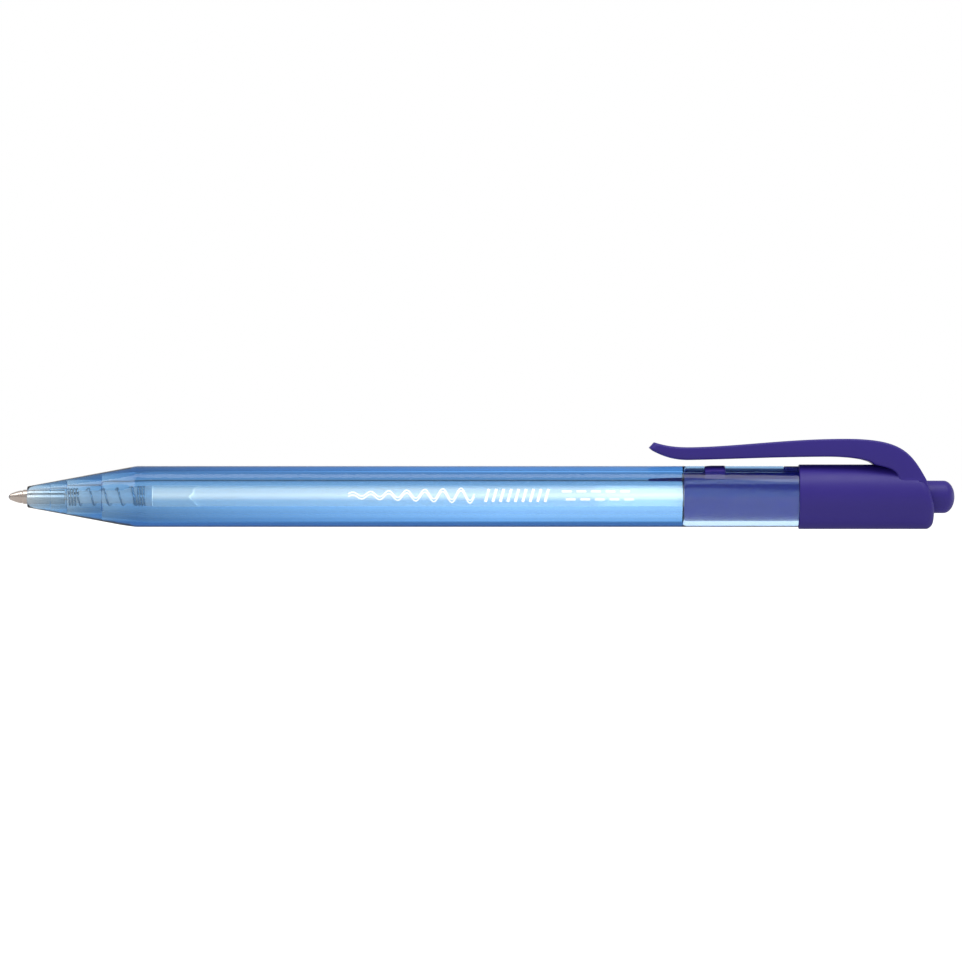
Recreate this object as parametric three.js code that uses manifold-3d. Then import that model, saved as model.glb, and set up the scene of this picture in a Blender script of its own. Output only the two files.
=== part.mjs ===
// Retractable ballpoint pen with a see-through barrel, drawn with its writing tip out.
// Millimetres. +X runs from the tip to the push button, +Z is up and the clip is on top.
// The origin is under the middle of the pen, on the surface that it lies on.
import * as THREE from "three";
import { mergeVertices } from "three/addons/utils/BufferGeometryUtils.js";
import Module from "manifold-3d";

const wasm = await Module();
wasm.setup();

// ---- Driving dimensions ----------------------------------------------------------------
const LENGTH = 146.6; // from the ball's front to the button's end
const TIP_X = -LENGTH / 2;
const BUTTON_X = LENGTH / 2;
const GAP = 0.3; // clearance between faces that touch on the real pen

// Barrel
const BARREL_R = 4.79;
const NOSE_X = -70.37; // front face of the nose
const NOSE_R = 1.64;
const SHOULDER_X = -53.5; // the cone ends here
const BARREL_END_X = 49.0;
const SIDE_FLAT = 4.6; // from the axis to the upper grip flat on each side
const SIDE_FLAT_TILT = THREE.MathUtils.degToRad(28.5); // how far each of them looks upwards
const BOTTOM_FLAT = 4.66;
const FLAT_FRONT_SLOPE = 0.115; // the flats lean in over the cone, and run out on it
const FLAT_FADE_X = 24; // the side flats grow shallower from here to the cap
const FLAT_FADE = 0.147;
const FLAT_FADE_POWER = 1.8;
const TIP_BORE_R = 1.2;
const LEDGE_R = 1.3;
const SPRING_BORE_R = 1.75;
const MID_BORE_R = 2.3;
const MAIN_BORE_R = 2.65;
const NOSE_STEP_X = -66.73;
const SPRING_SEAT_X = -64.1;
const SPRING_STEP_X = -58.6;
const MAIN_BORE_X = -51.4;

// Rear cap, with the sleeve that plugs into the barrel
const CAP_R = 5.02;
const CAP_X = 49.3;
const CAP_END_X = 69.95;
const CAP_FLAT = 4.98; // a narrow flat under the cap, which the pen lies on
const CAP_CORNER_R = 1.3;
const CAP_EDGE_R = 0.15; // at its front face
const CAP_BORE_R = 3.45;
const CAP_BORE_X = [50.6, 67.4];
const BUTTON_HOLE_R = 2.72;
const SLEEVE_X = 31.23;
const SLEEVE_R = 3.75;
const SLEEVE_CHAMFER = 0.3;
const SLEEVE_OVERLAP = 0.5; // how far the sleeve and the key reach into the cap
const SLEEVE_BORE_R = 2.65;
const SNAP_X = [34.49, 37.74]; // the window in the barrel that the cap's tab snaps into
const SNAP_HALF_WIDTH = 2.75;
const SNAP_PROUD = 0.06;
const SNAP_RAMP = [1.2, 0.1]; // length and height of the tab's sloping front
const KEY_X = 46.75; // front end of the notch that the cap's key sits in
const KEY_HALF_WIDTH = 1.3;
const RIB_X = [41.6, 48.6]; // ribs inside the sleeve that keep the button from turning
const RIB_TOP_R = 1.95;
const RIB_WIDTH = 0.6;
const RIBS = 4;

// Clip, whose arm bends where it leaves the cap
const CLIP_TIP_X = 25.93;
const CLIP_SPLIT_X = 60.0;
const CLIP_TIP_HALF_WIDTH = 2.5;
const CLIP_SPLIT_HALF_WIDTH = 3.7;
const CLIP_HEEL_HALF_WIDTH = 4.3; // flush with the cap's side
const CLIP_TIP_CORNER_R = 1.1;

// Push button, index rotor and refill
const BUTTON_R = 2.52;
const BUTTON_DOME = 1.73; // length of its rounded end
const BUTTON_DOME_STEPS = 7;
const BUTTON_FACE_DEGREES = 20; // the dome is cut flat this far from the axis
const COLLAR_X = [59.6, 61.6]; // stops the button at the cap's rear wall
const COLLAR_R = 3.15;
const STEM_R = 2.3;
const STEM_X = 40.6;
const STEM_BORE_R = 1.2;
const STEM_BORE_X = 47;
const ROTOR_X = [34.0, 38.6];
const ROTOR_R = 1.9;
const ROTOR_PIN_R = 0.9;
const ROTOR_PIN_X = 44.5;
const ROTOR_CHAMFER = 0.3;
const ROTOR_CROWN_DEPTH = 0.6; // how far the face inside the crown slopes in
const FINS = 4;
const FIN_R = 2.42;
const FIN_WIDTH = 0.7;
const FIN_ROOT_R = 1.2;
const FIN_CHAMFER = 0.25;
const FIN_X = [ROTOR_X[0] + 0.4, ROTOR_X[1] - 0.7];
const FIN_REAR_SLOPE = 0.4;
const TEETH = 8;
const TOOTH_HEIGHT = 0.5;
const BALL_R = 0.4;
const SOCKET_R = 0.44;
const SHANK_R = 1.115;
const SHANK_END_X = -64.4;
const TAIL_R = 0.5;
const TAIL_END_X = -58;
const INK_CHANNEL_R = 0.2;
const NECK_R = 1.0;
const FLANGE_X = -51.85; // the spring's rear seat on the tip holder
const FLANGE_LENGTH = 0.9;
const PLUG_END_X = -44.1;
const PLUG_CHAMFER = [0.3, 0.2]; // length and depth
const HOLDER_CHANNEL_R = 0.3;
const TUBE_R = 1.45;
const TUBE_BORE_R = 1.05;
const TUBE_END_X = 33.7;
const INK_END_X = 18;

// Spring: tight turns at both ends and wide ones between
const WIRE_R = 0.15;
const SPRING_R = 1.3;
const TIGHT_TURNS = 3.5;
const OPEN_TURNS = 4;
const TIGHT_PITCH = 0.44;
const END_CLEARANCE = 0.05; // between the wire and each of its seats
const STEPS_PER_TURN = 14;

const AXIS_Z = CAP_FLAT; // height of the pen's axis

// ---- Materials ---------------------------------------------------------------------------
const plastic = (color, roughness) => new THREE.MeshStandardMaterial({ color, roughness });
const metal = (color, roughness) => new THREE.MeshStandardMaterial({ color, roughness, metalness: 1 });
const CLEAR_BLUE = new THREE.MeshStandardMaterial({
  color: 0x5f9bd8,
  roughness: 0.08,
  transparent: true,
  opacity: 0.45,
});
const INDIGO = plastic(0x40357f, 0.35);
const MILKY = plastic(0xe6eef2, 0.4);
const NATURAL = plastic(0xf2f2ee, 0.4);
const INK_BLUE = plastic(0x1b2f8c, 0.3);
const NICKEL_SILVER = metal(0xd9a98c, 0.25);
const CARBIDE = metal(0x9a9a9c, 0.15);
const STEEL = metal(0xb9bcc0, 0.25);

// ---- Shape helpers -----------------------------------------------------------------------
const ROUND = 60; // segments round the large pieces
const BORE = 40;
const SMALL = 24;

// Turns [x, radius] points round the X axis. The outer wall runs towards +X.
function turned(points, segments = SMALL) {
  const profile = points.map(([x, r]) => new THREE.Vector2(r, x));
  return new THREE.LatheGeometry(profile, segments).rotateZ(-Math.PI / 2);
}

// A closed ring of [x, radius] points, such as a tube's wall.
function ring(points, segments) {
  return turned([...points, points[0]], segments);
}

// Points on an arc in the [x, radius] plane, the ends included.
function arc([cx, cr], radius, fromDegrees, toDegrees, steps = 5) {
  return Array.from({ length: steps + 1 }, (_, i) => {
    const a = THREE.MathUtils.degToRad(THREE.MathUtils.lerp(fromDegrees, toDegrees, i / steps));
    return [cx + radius * Math.cos(a), cr + radius * Math.sin(a)];
  });
}

// Presses flats into a turned piece: each flat is {angle, distance(x)}, the angle from +Y towards +Z.
const FACING_A_FLAT = 0.1; // cosine beyond which a point may lie on a flat
function flatten(geometry, flats) {
  const p = geometry.attributes.position;
  for (let i = 0; i < p.count; i++) {
    const angle = Math.atan2(p.getZ(i), p.getY(i));
    const radius = Math.hypot(p.getY(i), p.getZ(i));
    let allowed = radius;
    for (const flat of flats) {
      const facing = Math.cos(angle - flat.angle);
      if (facing > FACING_A_FLAT) allowed = Math.min(allowed, flat.distance(p.getX(i)) / facing);
    }
    p.setY(i, allowed * Math.cos(angle));
    p.setZ(i, allowed * Math.sin(angle));
  }
  return geometry;
}

// Raises a wave of saw teeth from every vertex that lies at x.
function crown(geometry, x, height) {
  const p = geometry.attributes.position;
  for (let i = 0; i < p.count; i++) {
    if (Math.abs(p.getX(i) - x) > 1e-4) continue;
    const turn = (Math.atan2(p.getZ(i), p.getY(i)) / (2 * Math.PI) + 1) * TEETH;
    p.setX(i, x + height * Math.abs(2 * (turn - Math.round(turn))));
  }
  return geometry;
}

// A box between two corners, given from the pen's axis.
function block([x0, y0, z0], [x1, y1, z1]) {
  return new THREE.BoxGeometry(x1 - x0, y1 - y0, z1 - z0).translate(
    (x0 + x1) / 2,
    (y0 + y1) / 2,
    (z0 + z1) / 2,
  );
}

// A side-view outline, drawn in X and Z, given a width across Y.
function slab(shape, halfWidth, curveSegments = 14) {
  return new THREE.ExtrudeGeometry(shape, { depth: 2 * halfWidth, bevelEnabled: false, curveSegments })
    .translate(0, 0, -halfWidth)
    .rotateX(Math.PI / 2);
}

function solid(geometry) {
  const bare = geometry.clone();
  bare.deleteAttribute("normal");
  bare.deleteAttribute("uv");
  const merged = mergeVertices(bare, 1e-4);
  return new wasm.Manifold(
    new wasm.Mesh({
      numProp: 3,
      vertProperties: new Float32Array(merged.attributes.position.array),
      triVerts: new Uint32Array(merged.index.array),
    }),
  );
}

function geometryOf(manifold) {
  const mesh = manifold.getMesh();
  return new THREE.BufferGeometry()
    .setAttribute("position", new THREE.BufferAttribute(mesh.vertProperties, 3))
    .setIndex(new THREE.BufferAttribute(mesh.triVerts, 1));
}

const pen = new THREE.Group();
pen.name = "ballpoint_pen";
const onAxis = new THREE.Group(); // everything is drawn about the pen's own axis
onAxis.position.z = AXIS_Z;
pen.add(onAxis);

function piece(name, geometry, material) {
  const mesh = new THREE.Mesh(geometry, material);
  mesh.name = name;
  onAxis.add(mesh);
}

// ---- Barrel ------------------------------------------------------------------------------
const RIGHT = SIDE_FLAT_TILT;
const LEFT = Math.PI - SIDE_FLAT_TILT;
const DOWN = -Math.PI / 2;

// Every flat leans in over the cone, and the side ones grow shallower towards the cap.
function flatAt(depth, fade) {
  return (x) => {
    const along = Math.max(0, (x - FLAT_FADE_X) / (BARREL_END_X - FLAT_FADE_X));
    return depth + fade * along ** FLAT_FADE_POWER - FLAT_FRONT_SLOPE * Math.max(0, SHOULDER_X - x);
  };
}

function barrelOutside() {
  const stations = (from, to, count, radiusAt) =>
    Array.from({ length: count }, (_, i) => {
      const x = THREE.MathUtils.lerp(from, to, i / count);
      return [x, radiusAt(x)];
    });
  const cone = (x) => THREE.MathUtils.mapLinear(x, NOSE_X, SHOULDER_X, NOSE_R, BARREL_R);
  const outline = [
    [NOSE_X, 0],
    ...stations(NOSE_X, SHOULDER_X, 17, cone),
    [SHOULDER_X, BARREL_R],
    ...stations(FLAT_FADE_X, BARREL_END_X, 5, () => BARREL_R),
    [BARREL_END_X, BARREL_R],
    [BARREL_END_X, 0],
  ];
  return flatten(turned(outline, ROUND), [
    { angle: RIGHT, distance: flatAt(SIDE_FLAT, FLAT_FADE) },
    { angle: LEFT, distance: flatAt(SIDE_FLAT, FLAT_FADE) },
    { angle: DOWN, distance: flatAt(BOTTOM_FLAT, 0) },
  ]);
}

function barrelBore() {
  const bore = turned([
    [NOSE_X - 1, 0],
    [NOSE_X - 1, TIP_BORE_R],
    [NOSE_STEP_X, TIP_BORE_R],
    [NOSE_STEP_X, LEDGE_R],
    [SPRING_SEAT_X, LEDGE_R],
    [SPRING_SEAT_X, SPRING_BORE_R],
    [SPRING_STEP_X, SPRING_BORE_R],
    [SPRING_STEP_X, MID_BORE_R],
    [MAIN_BORE_X, MAIN_BORE_R],
    [SLEEVE_X, MAIN_BORE_R],
    [SLEEVE_X, 0],
  ], BORE);
  const socket = turned([
    [SLEEVE_X - GAP, 0],
    [SLEEVE_X - GAP, SLEEVE_R + GAP],
    [BARREL_END_X + 1, SLEEVE_R + GAP],
    [BARREL_END_X + 1, 0],
  ], ROUND);
  return solid(bore).add(solid(socket));
}

const snapWindow = block([SNAP_X[0], -SNAP_HALF_WIDTH, 2], [SNAP_X[1], SNAP_HALF_WIDTH, 6]);
const keyNotch = block([KEY_X, -KEY_HALF_WIDTH, 2], [BARREL_END_X + 1, KEY_HALF_WIDTH, 6]);
const barrel = solid(barrelOutside())
  .subtract(barrelBore())
  .subtract(solid(snapWindow))
  .subtract(solid(keyNotch));
piece("barrel", geometryOf(barrel), CLEAR_BLUE);

// ---- Clip, whose outline the cap's shoulder shares ---------------------------------------------
// Heights are above the pen's axis.
const CREST = [56.2, 8.98]; // highest point of the clip
const HEEL = [68.74, 2.62]; // the clip's curve ends here, on the cap's rear face

function heelToCrest(shape) {
  shape.lineTo(...HEEL);
  shape.bezierCurveTo(66.3, 7.05, 64.9, 8.98, ...CREST);
}

// The side view of the whole clip. It closes inside the cap.
function clipOutline() {
  const s = new THREE.Shape();
  s.moveTo(CLIP_TIP_X, 7.61);
  s.lineTo(26.5, 7.15);
  s.bezierCurveTo(28.2, 6.25, 29.8, 5.73, 31.9, 5.71);
  s.bezierCurveTo(38, 5.8, 46, 6.22, 54, 6.22);
  s.bezierCurveTo(57, 6.2, 60.0, 5.85, 60.7, 5.03);
  s.bezierCurveTo(61.4, 4.75, 63.9, 4.6, 64.3, 3.2);
  s.lineTo(64.6, 2.2);
  s.lineTo(HEEL[0] + 0.2, 2.2);
  heelToCrest(s);
  s.bezierCurveTo(47, 8.98, 39, 7.72, 32, 7.68);
  s.bezierCurveTo(30.0, 7.68, 28.4, 7.9, 26.71, 8.45);
  s.closePath();
  return s;
}

// The clip seen from above: straight sides that close in towards a tip with round corners.
function clipPlan() {
  const c = CLIP_TIP_CORNER_R;
  const w = CLIP_TIP_HALF_WIDTH;
  const s = new THREE.Shape();
  s.moveTo(CLIP_TIP_X + c, -w);
  s.lineTo(CLIP_SPLIT_X, -CLIP_SPLIT_HALF_WIDTH);
  s.lineTo(HEEL[0] + 1, -CLIP_HEEL_HALF_WIDTH);
  s.lineTo(HEEL[0] + 1, CLIP_HEEL_HALF_WIDTH);
  s.lineTo(CLIP_SPLIT_X, CLIP_SPLIT_HALF_WIDTH);
  s.lineTo(CLIP_TIP_X + c, w);
  s.absarc(CLIP_TIP_X + c, w - c, c, Math.PI / 2, Math.PI);
  s.absarc(CLIP_TIP_X + c, c - w, c, Math.PI, 1.5 * Math.PI);
  s.closePath();
  return s;
}

const CLIP_COLUMN = { depth: 12, bevelEnabled: false, curveSegments: 5 };
const clip = solid(slab(clipOutline(), CLIP_HEEL_HALF_WIDTH + 1)).intersect(
  solid(new THREE.ExtrudeGeometry(clipPlan(), CLIP_COLUMN)),
);
const ahead = (x) => solid(block([0, -10, -10], [x, 10, 20]));
const clipArm = clip.intersect(ahead(CLIP_SPLIT_X - GAP / 2));
const clipShoulder = clip.subtract(ahead(CLIP_SPLIT_X + GAP / 2));
piece("clip", geometryOf(clipArm), INDIGO);

// ---- Rear cap ------------------------------------------------------------------------------
function capOutside() {
  const outline = [
    [CAP_X, 0],
    [CAP_X, CAP_R - CAP_EDGE_R],
    [CAP_X + CAP_EDGE_R, CAP_R],
    ...arc([CAP_END_X - CAP_CORNER_R, CAP_R - CAP_CORNER_R], CAP_CORNER_R, 90, 0, 6),
    [CAP_END_X, 0],
  ];
  return flatten(turned(outline, ROUND), [{ angle: DOWN, distance: () => CAP_FLAT }]);
}

function sleeve() {
  return turned([
    [SLEEVE_X, 0],
    [SLEEVE_X, SLEEVE_R - SLEEVE_CHAMFER],
    [SLEEVE_X + SLEEVE_CHAMFER, SLEEVE_R],
    [CAP_X + SLEEVE_OVERLAP, SLEEVE_R],
    [CAP_X + SLEEVE_OVERLAP, 0],
  ], ROUND);
}

function capBore() {
  return turned([
    [SLEEVE_X - 1, 0],
    [SLEEVE_X - 1, SLEEVE_BORE_R],
    [CAP_BORE_X[0], SLEEVE_BORE_R],
    [CAP_BORE_X[0], CAP_BORE_R],
    [CAP_BORE_X[1], CAP_BORE_R],
    [CAP_BORE_X[1], BUTTON_HOLE_R],
    [CAP_END_X + 1, BUTTON_HOLE_R],
    [CAP_END_X + 1, 0],
  ], BORE);
}

// The cap's back, seen from the side: the clip's curve runs on into a slanted rear face.
function capRearOutline() {
  const s = new THREE.Shape();
  s.moveTo(SLEEVE_X - 1, -6);
  s.lineTo(CAP_END_X + 0.2, -6);
  s.lineTo(CAP_END_X, -2.6);
  heelToCrest(s);
  s.lineTo(SLEEVE_X - 1, CREST[1]);
  s.closePath();
  return s;
}

const tab = block(
  [SNAP_X[0] + GAP, -SNAP_HALF_WIDTH + GAP, 2.8],
  [SNAP_X[1] - GAP, SNAP_HALF_WIDTH - GAP, 6],
);
const tabCrown = turned([
  [SNAP_X[0], 0],
  [SNAP_X[0], BARREL_R + SNAP_PROUD - SNAP_RAMP[1]],
  [SNAP_X[0] + SNAP_RAMP[0], BARREL_R + SNAP_PROUD],
  [SNAP_X[1], BARREL_R + SNAP_PROUD],
  [SNAP_X[1], 0],
], ROUND);
const key = block([KEY_X + GAP, -KEY_HALF_WIDTH + GAP, 3.2], [CAP_X + SLEEVE_OVERLAP, KEY_HALF_WIDTH - GAP, 4.5]);

let cap = solid(capOutside())
  .add(clipShoulder)
  .intersect(solid(slab(capRearOutline(), CAP_R + 1)))
  .add(solid(sleeve()))
  .add(solid(tab).intersect(solid(tabCrown)))
  .add(solid(key))
  .subtract(solid(capBore()));
for (let i = 0; i < RIBS; i++) {
  const rib = block([RIB_X[0], -RIB_WIDTH / 2, RIB_TOP_R], [RIB_X[1], RIB_WIDTH / 2, SLEEVE_BORE_R + 0.2]);
  cap = cap.add(solid(rib.rotateX((2 * Math.PI * i) / RIBS)));
}
piece("rear_cap", geometryOf(cap), INDIGO);

// ---- Push button ---------------------------------------------------------------------------
// The button's end: part of an ellipse, with a small flat face in its middle.
function dome() {
  const flatCosine = Math.cos(THREE.MathUtils.degToRad(BUTTON_FACE_DEGREES));
  return arc([0, 0], 1, 90, BUTTON_FACE_DEGREES, BUTTON_DOME_STEPS).map(([along, out]) => [
    BUTTON_X - BUTTON_DOME * (1 - along / flatCosine),
    BUTTON_R * out,
  ]);
}

function buttonBody() {
  const body = turned([
    [STEM_X, 0],
    [STEM_X, STEM_R],
    [COLLAR_X[0], STEM_R],
    [COLLAR_X[0], COLLAR_R],
    [COLLAR_X[1], COLLAR_R],
    [COLLAR_X[1], BUTTON_R],
    ...dome(),
    [BUTTON_X, 0],
  ], BORE);
  const bore = turned([
    [STEM_X - 1, 0],
    [STEM_X - 1, STEM_BORE_R],
    [STEM_BORE_X, STEM_BORE_R],
    [STEM_BORE_X, 0],
  ], BORE);
  let made = solid(crown(body, STEM_X, -TOOTH_HEIGHT)).subtract(solid(bore));
  for (let i = 0; i < RIBS; i++) {
    const groove = block(
      [STEM_X - 1, -RIB_WIDTH / 2 - GAP, RIB_TOP_R - GAP],
      [RIB_X[1] + 2.2, RIB_WIDTH / 2 + GAP, STEM_R + 1],
    );
    made = made.subtract(solid(groove.rotateX((2 * Math.PI * i) / RIBS)));
  }
  return made;
}
piece("push_button", geometryOf(buttonBody()), INDIGO);

// ---- Index rotor: it turns an eighth of a turn at each press and pushes the refill -------------
function rotor() {
  const body = turned([
    [ROTOR_X[0], 0],
    [ROTOR_X[0], ROTOR_R - ROTOR_CHAMFER],
    [ROTOR_X[0] + ROTOR_CHAMFER, ROTOR_R],
    [ROTOR_X[1], ROTOR_R],
    [ROTOR_X[1] - ROTOR_CROWN_DEPTH, ROTOR_PIN_R],
    [ROTOR_PIN_X, ROTOR_PIN_R],
    [ROTOR_PIN_X, 0],
  ], BORE);
  let made = solid(crown(body, ROTOR_X[1], -TOOTH_HEIGHT));
  const side = new THREE.Shape();
  side.moveTo(FIN_X[0], FIN_ROOT_R);
  side.lineTo(FIN_X[0], FIN_R - FIN_CHAMFER);
  side.lineTo(FIN_X[0] + FIN_CHAMFER, FIN_R);
  side.lineTo(FIN_X[1] - FIN_REAR_SLOPE, FIN_R);
  side.lineTo(FIN_X[1], FIN_ROOT_R);
  side.closePath();
  for (let i = 0; i < FINS; i++) {
    const fin = slab(side, FIN_WIDTH / 2).rotateX((2 * Math.PI * i) / FINS);
    made = made.add(solid(fin));
  }
  return made;
}
piece("index_rotor", geometryOf(rotor()), NATURAL);

// ---- Refill --------------------------------------------------------------------------------
const BALL_X = TIP_X + BALL_R;
const LIP_DEGREES = 118; // the lip closes over the ball's widest part

function ball() {
  return new THREE.SphereGeometry(BALL_R, 20, 12).translate(BALL_X, 0, 0);
}

function writingTip() {
  const socket = arc([BALL_X, 0], SOCKET_R, 24, LIP_DEGREES, 8);
  return ring([
    [BALL_X + SOCKET_R * Math.cos(THREE.MathUtils.degToRad(LIP_DEGREES)) - 0.01, 0.44],
    [BALL_X + 0.2, 0.59],
    [BALL_X + 0.8, 0.81],
    [BALL_X + 1.5, 1.0],
    [BALL_X + 1.8, 1.05],
    [BALL_X + 1.95, SHANK_R],
    [SHANK_END_X, SHANK_R],
    [SHANK_END_X, TAIL_R],
    [TAIL_END_X, TAIL_R],
    [TAIL_END_X, INK_CHANNEL_R],
    [BALL_X + 0.6, INK_CHANNEL_R],
    ...socket,
  ]);
}

function tipHolder() {
  const plugR = TUBE_BORE_R - GAP;
  return ring([
    [SHANK_END_X + GAP, TAIL_R + GAP],
    [SHANK_END_X + GAP, NECK_R],
    [FLANGE_X, NECK_R],
    [FLANGE_X, TUBE_R],
    [FLANGE_X + FLANGE_LENGTH, TUBE_R],
    [FLANGE_X + FLANGE_LENGTH, plugR],
    [PLUG_END_X - PLUG_CHAMFER[0], plugR],
    [PLUG_END_X, plugR - PLUG_CHAMFER[1]],
    [PLUG_END_X, HOLDER_CHANNEL_R],
    [TAIL_END_X + GAP, HOLDER_CHANNEL_R],
    [TAIL_END_X + GAP, TAIL_R + GAP],
  ]);
}

function refillTube() {
  const front = FLANGE_X + FLANGE_LENGTH + GAP;
  return ring([
    [front, TUBE_BORE_R],
    [front, TUBE_R],
    [TUBE_END_X, TUBE_R],
    [TUBE_END_X, TUBE_BORE_R],
  ]);
}

function ink() {
  const r = TUBE_BORE_R - GAP;
  return turned([
    [PLUG_END_X + GAP, 0],
    [PLUG_END_X + GAP, r],
    [INK_END_X, r],
    [INK_END_X, 0],
  ]);
}

piece("tip_ball", ball(), CARBIDE);
piece("writing_tip", writingTip(), NICKEL_SILVER);
piece("tip_holder", tipHolder(), NATURAL);
piece("refill_tube", refillTube(), MILKY);
piece("ink", ink(), INK_BLUE);

// ---- Return spring ---------------------------------------------------------------------------
class CoilCurve extends THREE.Curve {
  constructor(from, to) {
    super();
    this.from = from;
    this.tight = TIGHT_TURNS * TIGHT_PITCH;
    this.pitch = (to - from - 2 * this.tight) / OPEN_TURNS;
    this.turns = 2 * TIGHT_TURNS + OPEN_TURNS;
  }
  getPoint(t, target = new THREE.Vector3()) {
    const turn = t * this.turns;
    const open = THREE.MathUtils.clamp(turn - TIGHT_TURNS, 0, OPEN_TURNS);
    const x = this.from + (turn - open) * TIGHT_PITCH + open * this.pitch;
    const a = 2 * Math.PI * turn;
    return target.set(x, SPRING_R * Math.cos(a), SPRING_R * Math.sin(a));
  }
}

function spring() {
  const wire = new THREE.Shape().absarc(0, 0, WIRE_R, 0, 2 * Math.PI);
  const path = new CoilCurve(
    SPRING_SEAT_X + WIRE_R + END_CLEARANCE,
    FLANGE_X - WIRE_R - END_CLEARANCE,
  );
  return new THREE.ExtrudeGeometry(wire, {
    steps: path.turns * STEPS_PER_TURN,
    curveSegments: 3, // a wire with six sides
    extrudePath: path,
    bevelEnabled: false,
  });
}
piece("return_spring", spring(), STEEL);

export default pen;
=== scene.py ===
# Retractable ballpoint pen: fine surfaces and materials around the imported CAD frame.
# Shapes are worked out in millimetres about the pen's own axis and stored in metres in the row frame.
import math

import bmesh
import bpy
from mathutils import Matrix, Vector


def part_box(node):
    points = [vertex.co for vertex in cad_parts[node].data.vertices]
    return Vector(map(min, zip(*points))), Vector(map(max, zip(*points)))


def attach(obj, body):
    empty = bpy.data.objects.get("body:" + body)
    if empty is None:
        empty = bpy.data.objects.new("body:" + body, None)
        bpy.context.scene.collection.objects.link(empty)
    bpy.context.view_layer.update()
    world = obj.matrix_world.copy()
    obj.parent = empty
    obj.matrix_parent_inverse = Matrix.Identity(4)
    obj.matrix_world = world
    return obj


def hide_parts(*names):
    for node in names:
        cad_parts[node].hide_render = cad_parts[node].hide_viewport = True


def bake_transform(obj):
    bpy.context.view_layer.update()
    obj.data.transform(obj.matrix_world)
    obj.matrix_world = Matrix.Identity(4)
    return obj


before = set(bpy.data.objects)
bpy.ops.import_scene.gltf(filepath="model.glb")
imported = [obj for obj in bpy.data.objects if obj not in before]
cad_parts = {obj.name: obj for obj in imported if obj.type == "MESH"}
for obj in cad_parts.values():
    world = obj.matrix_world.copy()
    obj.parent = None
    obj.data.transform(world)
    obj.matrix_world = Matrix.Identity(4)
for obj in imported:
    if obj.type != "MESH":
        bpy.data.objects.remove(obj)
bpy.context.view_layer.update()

# ---- Frame dimensions ------------------------------------------------------------------------
MM = 0.001


def span(node, axis=0):
    low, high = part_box(node)
    return low[axis] / MM, high[axis] / MM


BARREL_X = span("barrel")
BUTTON_NODE_X = span("push_button")
SHANK_X = span("writing_tip")
BALL_NODE_X = span("tip_ball")
SPRING_NODE_X = span("return_spring")
TUBE_X = span("refill_tube")
CAP_R = span("rear_cap", 1)[1]
AXIS_Z = sum(span("push_button", 2)) / 2

# ---- Driving sizes of the fine model -----------------------------------------------------------
BARREL_R = 4.79
NOSE_R = 1.64
SHOULDER_X = -53.5
SIDE_FLAT = 4.6
SIDE_FLAT_TILT = math.radians(28.5)
BOTTOM_FLAT = 4.66
FLAT_FRONT_SLOPE = 0.115  # the flats lean in over the cone, and run out on it
FLAT_FADE_X = 24.0  # the side flats grow shallower from here to the cap
FLAT_FADE = 0.147
FLAT_FADE_POWER = 1.8
FLAT_EDGE = 0.1  # how softly the flats run into the round
MAIN_BORE_R = 2.65
CAP_X = 49.12
CAP_FRONT_GAP = 0.08
SLEEVE_X = 31.23
SLEEVE_R = 3.76
SLEEVE_BORE_R = 2.65
SOCKET_CLEARANCE = 0.1
WINDOW_X = (34.49, 37.74)
WINDOW_HALF_ANGLE = 35
NOTCH_X = 46.75
NOTCH_HALF_ANGLE = 15
HEEL = (68.74, 2.62)
REAR_FOOT = (69.95, -1.6)  # the cap's rear face leans back from the heel to here
CREST = (56.2, 8.98)
CLIP_SPLIT_HALF_WIDTH = 3.7
CLIP_HEEL_HALF_WIDTH = 4.3
CLIP_TIP_HALF_WIDTH = 2.5
CLIP_TIP_CORNER = 1.1
CLIP_EDGE_R = 0.4
CLIP_HINGE_X = 60.0
STEM_BORE_R = 1.2  # the rotor's pin runs in the button's stem
STEM_BORE_X = 47.0
PAINTED_HIGHLIGHT_RISE = 0.3  # how far above the tube's axis the painted highlight is strongest, as in the photo
PAINTED_HIGHLIGHT_REACH = 1.0  # how far from there it has faded
MID_BORE_R = 2.27
SPRING_BORE_R = 1.75
SPRING_STEP_X = -58.6
SPRING_SEAT_X = -64.1
GUIDE_BORE_R = 1.3
NOSE_STEP_X = -66.7
NOSE_BORE_R = 1.2
CAP_CORNER_R = 1.3
BUTTON_R = 2.52
BUTTON_DOME = 1.73
FORK_NOTCH_X = -45.3
FORK_PRONG = 1.55
PRINT_MIDDLE = 0.25  # how far up the near side the print's middle is


# ---- Mesh helpers ---------------------------------------------------------------------------
def new_object(name, verts, faces):
    """A mesh object from millimetre points about the pen's axis. It stays in those units until placed."""
    mesh = bpy.data.meshes.new(name)
    mesh.from_pydata([tuple(v) for v in verts], [], faces)
    mesh.update()
    bm = bmesh.new()
    bm.from_mesh(mesh)
    bmesh.ops.recalc_face_normals(bm, faces=bm.faces)
    bm.to_mesh(mesh)
    bm.free()
    obj = bpy.data.objects.new(name, mesh)
    bpy.context.scene.collection.objects.link(obj)
    return obj


def place(obj, material, sharp_degrees=32):
    """Brings a finished piece into metres in the row frame, smooths it and gives it its material."""
    for v in obj.data.vertices:
        v.co = Vector((v.co.x, v.co.y, v.co.z + AXIS_Z)) * MM
    obj.data.polygons.foreach_set("use_smooth", [True] * len(obj.data.polygons))
    obj.data.set_sharp_from_angle(angle=math.radians(sharp_degrees))
    obj.data.materials.clear()
    obj.data.materials.append(material)
    obj.data.update()
    return obj


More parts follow.
